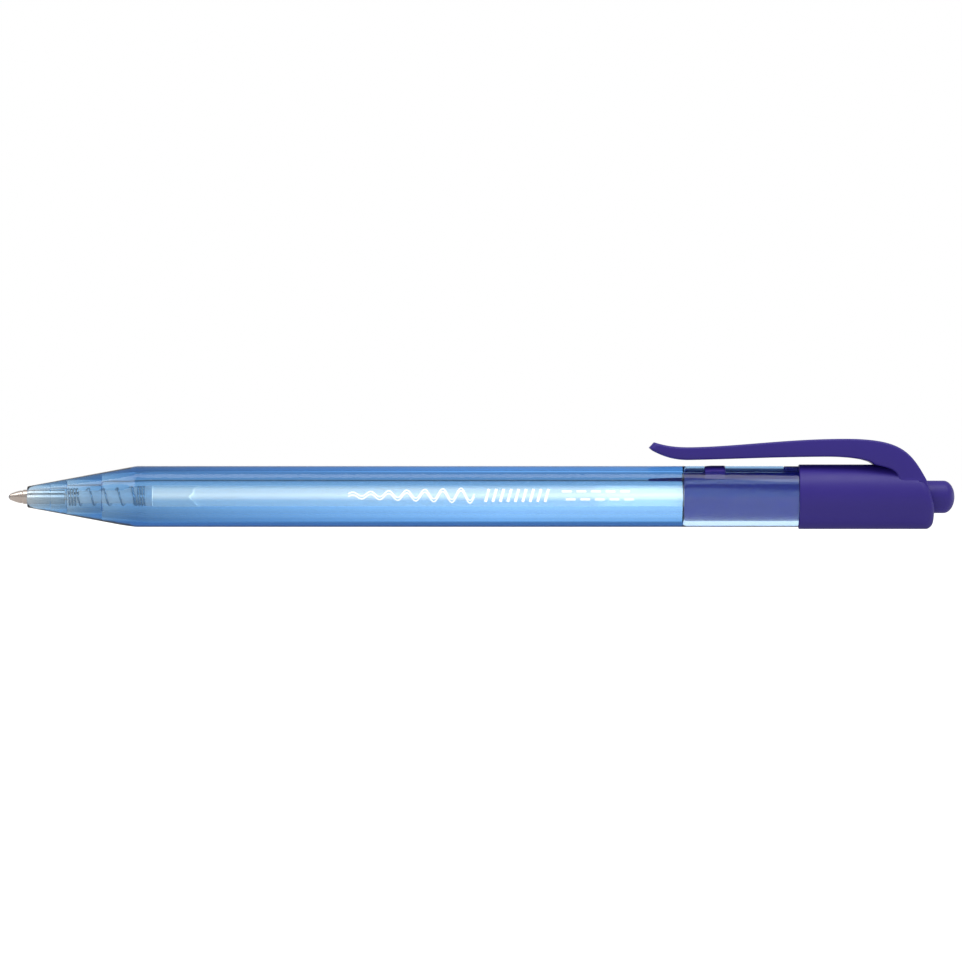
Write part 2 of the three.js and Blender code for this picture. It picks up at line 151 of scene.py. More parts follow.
def rounded(corners, steps=4):
    """A closed outline whose corners are (x, r, rounding): each corner becomes a small curve."""
    out = []
    count = len(corners)
    for i, (x, r, rounding) in enumerate(corners):
        here = Vector((x, r))
        before = Vector(corners[i - 1][:2]) - here
        after = Vector(corners[(i + 1) % count][:2]) - here
        cut = min(rounding, 0.45 * before.length, 0.45 * after.length)
        if cut < 1e-4:
            out.append(here)
            continue
        a = here + before.normalized() * cut
        b = here + after.normalized() * cut
        for k in range(steps + 1):
            t = k / steps
            out.append(a * (1 - t) ** 2 + here * 2 * t * (1 - t) + b * t * t)
    return out


def revolve(name, outline, segments=96):
    """Turns a closed outline of (x, r) points round the pen's axis."""
    verts, faces, rows = [], [], []
    for x, r in outline:
        if r < 1e-5:
            rows.append([len(verts)] * segments)
            verts.append((x, 0, 0))
            continue
        rows.append(list(range(len(verts), len(verts) + segments)))
        for j in range(segments):
            a = 2 * math.pi * j / segments
            verts.append((x, r * math.cos(a), r * math.sin(a)))
    for i, row in enumerate(rows):
        after = rows[(i + 1) % len(rows)]
        for j in range(segments):
            k = (j + 1) % segments
            corners = []
            for v in (row[j], row[k], after[k], after[j]):
                if v not in corners:
                    corners.append(v)
            if len(corners) > 2:
                faces.append(corners)
    return new_object(name, verts, faces)


def boolean(a, b, operation):
    """a joined with or cut by b. Both go, and the result takes a's name."""
    modifier = a.modifiers.new("cut", "BOOLEAN")
    modifier.operation = operation
    modifier.solver = "EXACT"
    modifier.object = b
    bpy.context.view_layer.update()
    made = bpy.data.meshes.new_from_object(a.evaluated_get(bpy.context.evaluated_depsgraph_get()))
    a.modifiers.clear()
    a.data = made
    bpy.data.objects.remove(b)
    return a


def weld(obj, distance):
    """Merges points that lie closer than the distance, and drops the faces that this leaves without an area."""
    bm = bmesh.new()
    bm.from_mesh(obj.data)
    bmesh.ops.remove_doubles(bm, verts=bm.verts, dist=distance)
    bmesh.ops.dissolve_degenerate(bm, edges=bm.edges, dist=distance)
    bmesh.ops.recalc_face_normals(bm, faces=bm.faces)
    bm.to_mesh(obj.data)
    bm.free()
    return obj


def join(name, objects):
    """Several closed meshes as one piece."""
    bm = bmesh.new()
    for o in objects:
        bm.from_mesh(o.data)
    mesh = bpy.data.meshes.new(name)
    bm.to_mesh(mesh)
    bm.free()
    for o in objects:
        bpy.data.objects.remove(o)
    obj = bpy.data.objects.new(name, mesh)
    bpy.context.scene.collection.objects.link(obj)
    return obj


def spaced(start, end, step):
    count = max(1, round((end - start) / step))
    return [start + (end - start) * i / count for i in range(count)]


def soft_min(a, b, softness):
    near = max(softness - abs(a - b), 0) / softness
    return min(a, b) - near * near * softness / 4


# ---- Camera, floor and light -------------------------------------------------------------------
FRAME_WIDTH = 0.1491  # what the camera sees across at the pen
CAMERA_LENS = 250.0
CAMERA_SENSOR = 36.0
VIEW_RISE = 0.00246  # the camera looks level, from this far above the pen's axis
LIGHT_BOUNCES = 24  # light turns many times inside the barrel's wall


def camera():
    data = bpy.data.cameras.new("camera")
    data.lens = CAMERA_LENS
    data.sensor_width = CAMERA_SENSOR
    distance = FRAME_WIDTH * CAMERA_LENS / CAMERA_SENSOR
    data.clip_start = 0.01
    data.clip_end = 20
    obj = bpy.data.objects.new("camera", data)
    obj.location = (-0.00008, -distance, AXIS_Z * MM + VIEW_RISE)
    obj.rotation_euler = (math.pi / 2, 0, 0)
    bpy.context.scene.collection.objects.link(obj)
    bpy.context.scene.camera = obj


def ray_switch(nodes, links, amounts):
    """A number that depends on what kind of ray is looking. amounts: camera, transmission, glossy, otherwise."""
    path = nodes.new("ShaderNodeLightPath")
    value = amounts[-1]
    for name, amount in zip(("Is Glossy Ray", "Is Transmission Ray", "Is Camera Ray"), reversed(amounts[:-1])):
        mix = nodes.new("ShaderNodeMix")
        links.new(path.outputs[name], mix.inputs["Factor"])
        for socket, content in (("A", value), ("B", amount)):
            if isinstance(content, (int, float)):
                mix.inputs[socket].default_value = content
            else:
                links.new(content, mix.inputs[socket])
        value = mix.outputs["Result"]
    return value


def floor():
    """White to the camera. Its levels for the barrel and for reflections are not one lamp's: fitted to the photo."""
    size = 3.0
    mesh = bpy.data.meshes.new("floor")
    mesh.from_pydata(
        [(-size, -size, 0), (size, -size, 0), (size, size, 0), (-size, size, 0)], [], [(0, 1, 2, 3)]
    )
    obj = bpy.data.objects.new("floor", mesh)
    bpy.context.scene.collection.objects.link(obj)
    material = bpy.data.materials.new("light_table")
    material.use_nodes = True
    nodes, links = material.node_tree.nodes, material.node_tree.links
    shader = nodes["Principled BSDF"]
    shader.inputs["Base Color"].default_value = (0.3, 0.3, 0.3, 1)
    shader.inputs["Roughness"].default_value = 0.8
    shader.inputs["Specular IOR Level"].default_value = 0
    shader.inputs["Emission Color"].default_value = (1, 1, 1, 1)
    where = nodes.new("ShaderNodeTexCoord")
    split = nodes.new("ShaderNodeSeparateXYZ")
    links.new(where.outputs["Object"], split.inputs[0])

    def slope(axis, start, end, low, high):
        node = nodes.new("ShaderNodeMapRange")
        for name, value in (("From Min", start), ("From Max", end), ("To Min", low), ("To Max", high)):
            node.inputs[name].default_value = value
        links.new(split.outputs[axis], node.inputs["Value"])
        return node.outputs["Result"]

    through = slope("X", -0.06, 0.005, 0.5, 2.1)  # brighter towards the pen's rear
    mirrored = slope("Y", 0.0, 0.06, 0.2, 0.9)
    glow = ray_switch(nodes, links, (1.0, through, mirrored, 0.4))
    links.new(glow, shader.inputs["Emission Strength"])
    # Fitted to the photo, where the barrel looks whiter towards its rear.
    warmth = ray_switch(nodes, links, (0.0, slope("X", -0.04, 0.01, 0.0, 1.0), 0.0, 0.0))
    tint = nodes.new("ShaderNodeMix")
    tint.data_type = "RGBA"
    tint.inputs["A"].default_value = (1, 1, 1, 1)
    tint.inputs["B"].default_value = (1, 0.85, 0.76, 1)
    links.new(warmth, tint.inputs["Factor"])
    links.new(tint.outputs["Result"], shader.inputs["Emission Color"])
    mesh.materials.append(material)


def area_light(name, location, target, size, power):
    data = bpy.data.lights.new(name, "AREA")
    data.shape = "RECTANGLE"
    data.size, data.size_y = size
    data.energy = power
    obj = bpy.data.objects.new(name, data)
    obj.location = location
    direction = Vector(target) - Vector(location)
    obj.rotation_euler = direction.to_track_quat("-Z", "Y").to_euler()
    bpy.context.scene.collection.objects.link(obj)


def round_the_pen(nodes, links, stops):
    """A brightness that changes with direction: stops are (degrees up from the front, over the top, to the back)."""
    where = nodes.new("ShaderNodeTexCoord")
    split = nodes.new("ShaderNodeSeparateXYZ")
    front = nodes.new("ShaderNodeMath")
    front.operation = "MULTIPLY"
    front.inputs[1].default_value = -1
    angle = nodes.new("ShaderNodeMath")
    angle.operation = "ARCTAN2"
    curve = nodes.new("ShaderNodeMapRange")
    curve.inputs["From Max"].default_value = math.pi
    ramp = nodes.new("ShaderNodeValToRGB")
    top = max(value for _, value in stops)
    while len(ramp.color_ramp.elements) < len(stops):
        ramp.color_ramp.elements.new(0.5)
    for element, (degrees, value) in zip(ramp.color_ramp.elements, stops):
        element.position = degrees / 180
        element.color = (value / top, value / top, value / top, 1)
    scale = nodes.new("ShaderNodeMath")
    scale.operation = "MULTIPLY"
    scale.inputs[1].default_value = top
    links.new(where.outputs["Generated"], split.inputs[0])
    links.new(split.outputs["Y"], front.inputs[0])
    links.new(split.outputs["Z"], angle.inputs[0])
    links.new(front.outputs[0], angle.inputs[1])
    links.new(angle.outputs[0], curve.inputs["Value"])
    links.new(curve.outputs["Result"], ramp.inputs["Fac"])
    links.new(ramp.outputs["Color"], scale.inputs[0])
    return scale.outputs[0]


def surroundings():
    """White to the camera. Its levels for the barrel and for reflections were fitted to the photo."""
    world = bpy.data.worlds.new("studio")
    bpy.context.scene.world = world
    world.use_nodes = True
    nodes, links = world.node_tree.nodes, world.node_tree.links
    through = round_the_pen(nodes, links, ((0, 2.5), (20, 2.2), (32, 0.3), (112, 0.3), (122, 1.0)))
    glossy = round_the_pen(nodes, links, ((0, 0.25), (90, 0.3), (150, 0.35), (176, 1.0)))
    strength = ray_switch(nodes, links, (1.0, through, glossy, 0.4))
    links.new(strength, nodes["Background"].inputs["Strength"])
    nodes["Background"].inputs["Color"].default_value = (1, 1, 1, 1)


def stage():
    camera()
    floor()
    surroundings()
    # A long softbox overhead, a little towards the camera.
    area_light("softbox", (0.0, -0.19, 0.57), (0, 0, 0.005), (1.2, 0.3), 2.5)
    scene = bpy.context.scene
    scene.cycles.max_bounces = LIGHT_BOUNCES
    scene.cycles.transmission_bounces = LIGHT_BOUNCES
    scene.cycles.glossy_bounces = LIGHT_BOUNCES
    scene.view_settings.view_transform = "Standard"
    scene.view_settings.look = "None"


# ---- Materials -------------------------------------------------------------------------------
class Paint:
    """A Principled material with a few node shortcuts. Every texture is in object space, in metres."""

    def __init__(self, name, colour, roughness, metallic=0.0, ior=1.5):
        self.material = bpy.data.materials.new(name)
        self.material.use_nodes = True
        self.nodes = self.material.node_tree.nodes
        self.links = self.material.node_tree.links
        self.shader = self.nodes["Principled BSDF"]
        self.shader.inputs["Base Color"].default_value = (*colour, 1)
        self.shader.inputs["Roughness"].default_value = roughness
        self.shader.inputs["Metallic"].default_value = metallic
        self.shader.inputs["IOR"].default_value = ior
        self.place = self.nodes.new("ShaderNodeTexCoord").outputs["Object"]

    def stretched(self, scale):
        mapping = self.nodes.new("ShaderNodeMapping")
        mapping.inputs["Scale"].default_value = scale
        self.links.new(self.place, mapping.inputs["Vector"])
        return mapping.outputs["Vector"]

    def noise(self, scale, detail=3.0, vector=None):
        node = self.nodes.new("ShaderNodeTexNoise")
        node.inputs["Scale"].default_value = scale
        node.inputs["Detail"].default_value = detail
        self.links.new(vector or self.place, node.inputs["Vector"])
        return node.outputs["Fac"]

    def between(self, value, low, high, from_low=0.3, from_high=0.7):
        node = self.nodes.new("ShaderNodeMapRange")
        node.inputs["From Min"].default_value = from_low
        node.inputs["From Max"].default_value = from_high
        node.inputs["To Min"].default_value = low
        node.inputs["To Max"].default_value = high
        self.links.new(value, node.inputs["Value"])
        return node.outputs["Result"]

    def mix(self, value, first, second):
        node = self.nodes.new("ShaderNodeMix")
        node.data_type = "RGBA"
        node.inputs["A"].default_value = (*first, 1)
        node.inputs["B"].default_value = (*second, 1)
        self.links.new(value, node.inputs["Factor"])
        return node.outputs["Result"]

    def bump(self, value, height, strength=1.0):
        node = self.nodes.new("ShaderNodeBump")
        node.inputs["Distance"].default_value = height
        node.inputs["Strength"].default_value = strength
        self.links.new(value, node.inputs["Height"])
        self.links.new(node.outputs["Normal"], self.shader.inputs["Normal"])

    def glow(self, strength, colour):
        """A faint even glow that stands in for light let through the plastic, fitted to the photo."""
        self.shader.inputs["Emission Color"].default_value = (*colour, 1)
        self.shader.inputs["Emission Strength"].default_value = strength

    def painted_highlight(self, front, rear):
        """A highlight painted on the object, not a light: height, colours and strengths were fitted to the photo."""
        split = self.nodes.new("ShaderNodeSeparateXYZ")
        self.links.new(self.place, split.inputs[0])
        off = self.nodes.new("ShaderNodeMath")
        off.operation = "SUBTRACT"
        off.inputs[1].default_value = (AXIS_Z + PAINTED_HIGHLIGHT_RISE) * MM
        away = self.nodes.new("ShaderNodeMath")
        away.operation = "ABSOLUTE"
        self.links.new(split.outputs["Z"], off.inputs[0])
        self.links.new(off.outputs[0], away.inputs[0])
        core = self.between(away.outputs[0], 1, 0, 0.0, PAINTED_HIGHLIGHT_REACH * MM)
        core.node.interpolation_type = "SMOOTHSTEP"
        self.feed("Emission Color", self.mix(core, (0.3, 0.32, 0.31), (1.0, 0.75, 0.5)))
        self.feed("Emission Strength", self.between(split.outputs["X"], front, rear, -0.04, 0.02))

    def feed(self, socket, value):
        self.links.new(value, self.shader.inputs[socket])


def clear_blue():
    p = Paint("clear_blue_plastic", (0.93, 0.97, 1.0), 0.03, ior=1.55)
    p.shader.inputs["Transmission Weight"].default_value = 1
    p.feed("Roughness", p.between(p.noise(900), 0.02, 0.05))
    absorb = p.nodes.new("ShaderNodeVolumeAbsorption")
    absorb.inputs["Color"].default_value = (0.17, 0.53, 0.79, 1)
    absorb.inputs["Density"].default_value = 500
    p.links.new(absorb.outputs[0], p.nodes["Material Output"].inputs["Volume"])
    return p.material


def indigo():
    p = Paint("indigo_plastic", (0.046, 0.025, 0.32), 0.4)
    p.feed("Base Color", p.mix(p.between(p.noise(60), 0, 1), (0.044, 0.024, 0.31), (0.048, 0.026, 0.33)))
    p.feed("Roughness", p.between(p.noise(300, 3), 0.4, 0.48))
    p.bump(p.noise(700, 2), 0.000002, 0.3)
    return p.material


def sleeve_indigo():
    """The cap's own plastic, made bluer to match how the sleeve looks through the barrel in the photo."""
    # Painted light: the cap's plastic in a bluer copy, standing in for how the sleeve looks lit through the barrel.
    p = Paint("indigo_painted_light", (0.02, 0.027, 0.35), 0.35)
    p.feed("Base Color", p.mix(p.between(p.noise(60), 0, 1), (0.019, 0.026, 0.335), (0.021, 0.028, 0.365)))
    p.feed("Roughness", p.between(p.noise(300, 3), 0.3, 0.4))
    return p.material


def milky():
    p = Paint("milky_plastic", (0.88, 0.93, 0.95), 0.3)
    p.shader.inputs["Subsurface Weight"].default_value = 0.3
    p.shader.inputs["Subsurface Radius"].default_value = (0.0012, 0.0014, 0.0016)
    p.shader.inputs["Subsurface Scale"].default_value = 1
    # The tube's painted highlight: a warm band of emission just above its axis, stronger towards the rear.
    p.painted_highlight(1.35, 1.9)
    streaks = p.noise(400, 3, p.stretched((0.05, 1, 1)))
    p.feed("Base Color", p.mix(p.between(streaks, 0, 1), (0.84, 0.9, 0.93), (0.92, 0.96, 0.97)))
    p.feed("Roughness", p.between(p.noise(700), 0.25, 0.4))
    return p.material


def natural(name, thin=False):
    p = Paint(name, (0.82, 0.86, 0.87), 0.35)
    # Thin pieces get a painted highlight; the others get a painted even glow.
    if thin:
        p.painted_highlight(1.2, 1.2)
    else:
        p.glow(0.3, (0.9, 0.85, 0.8))
    p.feed("Base Color", p.mix(p.between(p.noise(300), 0, 1), (0.76, 0.8, 0.82), (0.86, 0.9, 0.9)))
    p.feed("Roughness", p.between(p.noise(800), 0.3, 0.45))
    p.bump(p.noise(3000, 3), 0.000004, 0.5)
    return p.material


def nickel_silver():
    p = Paint("nickel_silver", (0.99, 0.86, 0.77), 0.3, metallic=1)
    turned = p.noise(6000, 1, p.stretched((1, 0.02, 0.02)))
    p.feed("Base Color", p.mix(p.between(p.noise(500), 0, 1), (0.98, 0.82, 0.72), (1.0, 0.9, 0.82)))
    p.feed("Roughness", p.between(turned, 0.28, 0.36))
    p.bump(turned, 0.0000004, 0.3)
    return p.material


def carbide():
    p = Paint("carbide", (0.42, 0.42, 0.45), 0.2, metallic=1)
    p.feed("Roughness", p.between(p.noise(9000, 4), 0.12, 0.4))
    return p.material


def ink_paste():
    p = Paint("ink_paste", (0.02, 0.05, 0.35), 0.2)
    p.feed("Roughness", p.between(p.noise(900), 0.15, 0.3))
    return p.material


def spring_steel():
    p = Paint("spring_steel", (0.6, 0.62, 0.64), 0.25, metallic=1)
    drawn = p.noise(4000, 3)
    p.feed("Roughness", p.between(drawn, 0.18, 0.36))
    p.bump(drawn, 0.000003, 0.5)
    return p.material


def white_print():
    p = Paint("white_print", (0.93, 0.96, 0.98), 0.5)
    # A painted glow: the print shines with no lamp on it.
    p.glow(0.6, (0.95, 0.98, 1.0))
    p.feed("Roughness", p.between(p.noise(3000, 4), 0.4, 0.65))
    p.feed("Base Color", p.mix(p.between(p.noise(2500, 5), 0, 1), (0.86, 0.9, 0.95), (0.97, 0.98, 1.0)))
    return p.material


# ---- Barrel ----------------------------------------------------------------------------------
RIGHT = SIDE_FLAT_TILT
LEFT = math.pi - SIDE_FLAT_TILT
DOWN = -math.pi / 2


def facing(angle, flat):
    return math.cos(angle - flat)


def barrel_outer(x, angle, base):
    lean = FLAT_FRONT_SLOPE * max(0.0, SHOULDER_X - x)
    fade = max(0.0, (x - FLAT_FADE_X) / (BARREL_X[1] - FLAT_FADE_X))
    side = SIDE_FLAT + FLAT_FADE * fade**FLAT_FADE_POWER
    r = base
    for flat, distance in ((RIGHT, side), (LEFT, side), (DOWN, BOTTOM_FLAT)):
        if facing(angle, flat) > 0.2:
            r = soft_min(r, (distance - lean) / facing(angle, flat), FLAT_EDGE)
    return r


def square_walls(angle, half_degrees):
    """Turns a direction at the socket so that a window's side wall stands upright in the barrel."""
    off = math.degrees(angle) - 90
    off -= 360 * round(off / 360)
    outer_y = BARREL_R * math.sin(math.radians(half_degrees))
    inner_half = math.degrees(math.asin(outer_y / (SLEEVE_R + SOCKET_CLEARANCE)))
    beyond = min(1.0, max(0.0, (abs(off) - half_degrees) / 85))
    extra = (inner_half - half_degrees) * min(1.0, abs(off) / half_degrees) * (1 - beyond)
    return angle + math.radians(math.copysign(extra, off))


def barrel():
    """One closed shell on a grid of stations and angles, with the snap window and the key's notch left open."""
    front, rear = BARREL_X[0], CAP_X - CAP_FRONT_GAP
    cone = (BARREL_R - NOSE_R) / (SHOULDER_X - front)
    segments = 360
    edge = 0.12

    outer_x = [front, front + 0.03, front + edge]
    outer_x += spaced(front + 0.4, SHOULDER_X - 4.0, 0.35)
    outer_x += spaced(SHOULDER_X - 4.0, SHOULDER_X + 0.4, 0.1)
    outer_x += spaced(SHOULDER_X + 0.6, SLEEVE_X, 1.5)
    socket_x = spaced(SLEEVE_X, WINDOW_X[0], 0.6) + spaced(*WINDOW_X, 0.5)
    socket_x += spaced(WINDOW_X[1], NOTCH_X, 0.6) + spaced(NOTCH_X, rear - edge, 0.5)
    socket_x += [rear - edge, rear - 0.03, rear]

    def outer_base(x):
        r = soft_min(NOSE_R + cone * (x - front), BARREL_R, 0.05)
        for end, sign in ((front, 1), (rear, -1)):
            depth = edge - sign * (x - end)
            if depth > 0:
                r -= edge - math.sqrt(max(edge**2 - depth**2, 0))
        return r

    # The bore, from the rear end to the nose: (x, radius).
    bore = [
        (-51.2, MAIN_BORE_R), (-51.9, MAIN_BORE_R - 0.04),
        (SPRING_STEP_X + 0.15, MID_BORE_R + 0.05), (SPRING_STEP_X, MID_BORE_R),
        (SPRING_STEP_X, SPRING_BORE_R + 0.04), (SPRING_STEP_X - 0.05, SPRING_BORE_R),
        (SPRING_SEAT_X + 0.05, SPRING_BORE_R), (SPRING_SEAT_X, SPRING_BORE_R - 0.05),
        (SPRING_SEAT_X, GUIDE_BORE_R + 0.02), (SPRING_SEAT_X - 0.05, GUIDE_BORE_R),
        (NOSE_STEP_X + 0.08, GUIDE_BORE_R), (NOSE_STEP_X + 0.04, GUIDE_BORE_R - 0.03),
        (NOSE_STEP_X - 0.03, NOSE_BORE_R + 0.02), (NOSE_STEP_X - 0.08, NOSE_BORE_R),
        (front + 0.15, NOSE_BORE_R), (front + 0.03, NOSE_BORE_R + 0.04), (front, NOSE_BORE_R + 0.1),
    ]
    step = SLEEVE_X - SOCKET_CLEARANCE
    mouth = [(step, 3.8), (step, MAIN_BORE_R + 0.05), (step - 0.06, MAIN_BORE_R)]
    mouth += [(x, MAIN_BORE_R) for x in reversed(spaced(-51.2, SLEEVE_X - 0.4, 4.0)[1:])]

    verts, rows = [], []

    def add_row(x, radius_at, turned=lambda a: a):
        rows.append(list(range(len(verts), len(verts) + segments)))
        for j in range(segments):
            a = turned(2 * math.pi * j / segments)
            r = radius_at(a)
            verts.append((x, r * math.cos(a), r * math.sin(a)))

    for x in outer_x + socket_x:
        add_row(x, lambda a, x=x: barrel_outer(x, a, outer_base(x)))
    first_socket = len(outer_x)
    last_outer = len(rows) - 1
    for x in reversed(socket_x):
        half = NOTCH_HALF_ANGLE if x > (WINDOW_X[1] + NOTCH_X) / 2 else WINDOW_HALF_ANGLE
        add_row(x, lambda a: SLEEVE_R + SOCKET_CLEARANCE, lambda a, half=half: square_walls(a, half))
    for x, r in mouth + bore:
        add_row(x, lambda a, r=r: r)

    def partner(i):
        """The bore's row at the same station as an outer row of the socket."""
        return 2 * last_outer + 1 - i

    def half_index(degrees):
        top = segments // 4
        return top - degrees * segments // 360, top + degrees * segments // 360

    window = (
        first_socket + socket_x.index(WINDOW_X[0]),
        first_socket + socket_x.index(WINDOW_X[1]),
        *half_index(WINDOW_HALF_ANGLE),
    )
    notch = (first_socket + socket_x.index(NOTCH_X), last_outer, *half_index(NOTCH_HALF_ANGLE))

    def is_open(i, j):
        for start, end, low, high in (window, notch):
            inside = low <= j < high
            over = start <= i < end or start <= partner(i) - 1 < end
            if inside and over:
                return True
        return i == last_outer and notch[2] <= j < notch[3]

    faces = []
    for i, row in enumerate(rows):
        after = rows[(i + 1) % len(rows)]
        for j in range(segments):
            if not is_open(i, j):
                k = (j + 1) % segments
                faces.append((row[j], row[k], after[k], after[j]))
    for start, end, low, high in (window, notch):
        for j in (low, high):
            for i in range(start, end):
                inner, inner_after = rows[partner(i)], rows[partner(i + 1)]
                faces.append((rows[i][j], rows[i + 1][j], inner_after[j], inner[j]))
        for i in (start, end):
            if i == last_outer:
                continue
            for j in range(low, high):
                inner = rows[partner(i)]
                faces.append((rows[i][j], rows[i][j + 1], inner[j + 1], inner[j]))
    return new_object("barrel_shell", verts, faces)


# ---- Clip and cap ------------------------------------------------------------------------------
def bezier(a, b, c, d, steps=40):
    points = [Vector(p) for p in (a, b, c, d)]
    out = []
    for i in range(steps + 1):
        t = i / steps
        s = 1 - t
        weights = (s**3, 3 * s * s * t, 3 * s * t * t, t**3)
        out.append(sum((p * w for p, w in zip(points, weights)), Vector((0, 0))))
    return out


def resample(points, count):
    """count + 1 points at even steps along a line of points."""
    lengths = [0.0]
    for a, b in zip(points, points[1:]):
        lengths.append(lengths[-1] + (b - a).length)
    out, k = [], 0
    for i in range(count + 1):
        want = lengths[-1] * i / count
        while k < len(lengths) - 2 and lengths[k + 1] < want:
            k += 1
        t = (want - lengths[k]) / max(lengths[k + 1] - lengths[k], 1e-9)
        out.append(points[k].lerp(points[k + 1], min(t, 1)))
    return out


def rear_face_x(z):
    """Where the cap's leaning rear face is at height z."""
    t = (HEEL[1] - max(z, REAR_FOOT[1])) / (HEEL[1] - REAR_FOOT[1])
    return HEEL[0] + (REAR_FOOT[0] - HEEL[0]) * (t + 0.25 * t * (1 - t))


def clip_edges():
    """The clip's upper and lower edges in side view, as matching lists of points from its tip to inside the cap."""
    tip_low, tip_low_curve = Vector((25.93, 7.61)), (26.5, 7.15)
    upper = [
        (bezier((26.71, 8.45), (28.4, 7.9), (30.0, 7.68), (32, 7.68)), 22),
        (bezier((32, 7.68), (39, 7.72), (47, 8.98), CREST), 40),
        (bezier(CREST, (64.9, 8.98), (66.3, 7.05), HEEL), 40),
    ]
    lower = [
        [tip_low] + bezier(tip_low_curve, (28.2, 6.25), (29.8, 5.73), (31.9, 5.71)),
        bezier((31.9, 5.71), (38, 5.8), (46, 6.22), (54, 6.22)),
        bezier((54, 6.22), (57, 6.2), (60.0, 5.85), (60.7, 5.03))
        + bezier((60.7, 5.03), (61.4, 4.75), (63.9, 4.6), (64.3, 3.2))[1:]
        + [Vector((64.6, 2.2))],
    ]
    tops, bottoms = [], []
    for (top, count), bottom in zip(upper, lower):
        skip = 1 if tops else 0
        tops += resample(top, count)[skip:]
        bottoms += resample(bottom, count)[skip:]
    # A few more stations at the very tip, for its rounded corners.
    extra = (0.04, 0.12, 0.25, 0.45, 0.7)
    for points in (tops, bottoms):
        points[1:1] = [points[0].lerp(points[1], f) for f in extra]
    # The shoulder runs on down the cap's rear face, so that its corners end in the cap's side.
    for drop in (0.5, 1.0, 1.5):
        tops.append(Vector((rear_face_x(HEEL[1] - drop) - 0.03, HEEL[1] - drop)))
        bottoms.append(bottoms[-1] - Vector((0, 0.4)))
    return tops, bottoms


def clip_half_width(x, along):
    t = min(1, max(0, (x - 26) / (CLIP_HINGE_X - 26)))
    width = CLIP_TIP_HALF_WIDTH + (CLIP_SPLIT_HALF_WIDTH - CLIP_TIP_HALF_WIDTH) * t
    t = min(1, max(0, (x - CLIP_HINGE_X) / (HEEL[0] - CLIP_HINGE_X)))
    width += (CLIP_HEEL_HALF_WIDTH - CLIP_SPLIT_HALF_WIDTH) * t
    if along < CLIP_TIP_CORNER:
        short = CLIP_TIP_CORNER - along
        width -= CLIP_TIP_CORNER - math.sqrt(max(CLIP_TIP_CORNER**2 - short**2, 0))
    return width


def section(top, bottom, half_width, edge_r, steps=5):
    """A rectangle with rounded corners that stands between two points of the side view."""
    up = top - bottom
    height = up.length
    up.normalize()
    r = min(edge_r, 0.45 * height, 0.8 * half_width)
    out = []
    for corner, (sy, sv) in enumerate(((1, 1), (-1, 1), (-1, -1), (1, -1))):
        for k in range(steps + 1):
            a = math.pi / 2 * (corner + k / steps)
            y = sy * (half_width - r) + r * math.cos(a)
            v = (height - r if sv > 0 else r) + r * math.sin(a)
            p = bottom + up * v
            out.append((p.x, y, p.y))
    return out


def loft(name, rings):
    verts, faces = [], []
    count = len(rings[0])
    for ring in rings:
        verts += ring
    for i in range(len(rings) - 1):
        for j in range(count):
            k = (j + 1) % count
            a, b = i * count, (i + 1) * count
            faces.append((a + j, a + k, b + k, b + j))
    faces.append(tuple(range(count)))
    faces.append(tuple(range(len(verts) - count, len(verts))))
    return new_object(name, verts, faces)


def clip_rings():
    tops, bottoms = clip_edges()
    rings, along = [], 0.0
    previous = None
    for top, bottom in zip(tops, bottoms):
        middle = (top + bottom) / 2
        if previous is not None:
            along += (middle - previous).length
        previous = middle
        edge = CLIP_EDGE_R * min(1, 0.35 + along)
        rings.append(section(top, bottom, clip_half_width(top.x, along), edge))
    split = next(i for i, b in enumerate(bottoms) if b.x > CLIP_HINGE_X - 0.6)
    return rings, split


def heel_x(z):
    """Where the clip's curve is at height z, near the cap's rear."""
    curve = bezier(CREST, (64.9, 8.98), (66.3, 7.05), HEEL)
    for a, b in zip(curve, curve[1:]):
        if b.y <= z <= a.y:
            return a.x + (b.x - a.x) * (z - a.y) / (b.y - a.y)
    return HEEL[0]


def cap_body():
    """The cap's outside as a closed grid: its rear face leans, and its top end stays inside the clip's shoulder."""
    corner = CAP_CORNER_R
    segments = 240
    stations = [(CAP_X, 0.0), (CAP_X, CAP_R - 0.16), (CAP_X + 0.02, CAP_R - 0.1), (CAP_X + 0.06, CAP_R - 0.04),
                (CAP_X + 0.12, CAP_R - 0.01), (CAP_X + 0.2, CAP_R)]
    stations += [(x, CAP_R) for x in spaced(CAP_X + 1, 66.5, 1.0)]
    verts, rows = [], []

    def end_x(z):
        face = rear_face_x(z)
        return face if z < 2.3 else min(face, heel_x(z) - 0.35)

    def add(points):
        rows.append(list(range(len(verts), len(verts) + segments)))
        verts.extend((x, y, max(z, -AXIS_Z)) for x, y, z in points)  # a narrow flat on the floor

    angles = [2 * math.pi * j / segments for j in range(segments)]
    for x, r in stations:
        add([(x, r * math.cos(a), r * math.sin(a)) for a in angles])
    for k in range(13):
        turn = math.pi / 2 * k / 12
        r = CAP_R - corner + corner * math.cos(turn)
        add([(end_x(r * math.sin(a)) - corner + corner * math.sin(turn), r * math.cos(a), r * math.sin(a))
             for a in angles])
    for r in (3.2, 2.9, 2.6, 2.0, 0.0):
        add([(end_x(r * math.sin(a)), r * math.cos(a), r * math.sin(a)) for a in angles])
    faces = []
    for row, after in zip(rows, rows[1:]):
        for j in range(segments):
            k = (j + 1) % segments
            faces.append((row[j], row[k], after[k], after[j]))
    return weld(new_object("cap_shell", verts, faces), 1e-5)


def cap_bore():
    return revolve("bore", [
        Vector(p) for p in (
            (CAP_X - 1, 0), (CAP_X - 1, SLEEVE_BORE_R), (50.6, SLEEVE_BORE_R), (50.6, 3.45), (67.4, 3.45),
            (67.4, 2.58), (72, 2.58), (72, 0),
        )
    ], 120)


def sleeve():
    """The cap's front sleeve, seen through the barrel."""
    return revolve("sleeve", rounded([
        (SLEEVE_X, SLEEVE_BORE_R, 0.1), (SLEEVE_X, SLEEVE_R, 0.25), (CAP_X + 0.4, SLEEVE_R, 0.0),
        (CAP_X + 0.4, SLEEVE_BORE_R, 0.0),
    ]), 240)


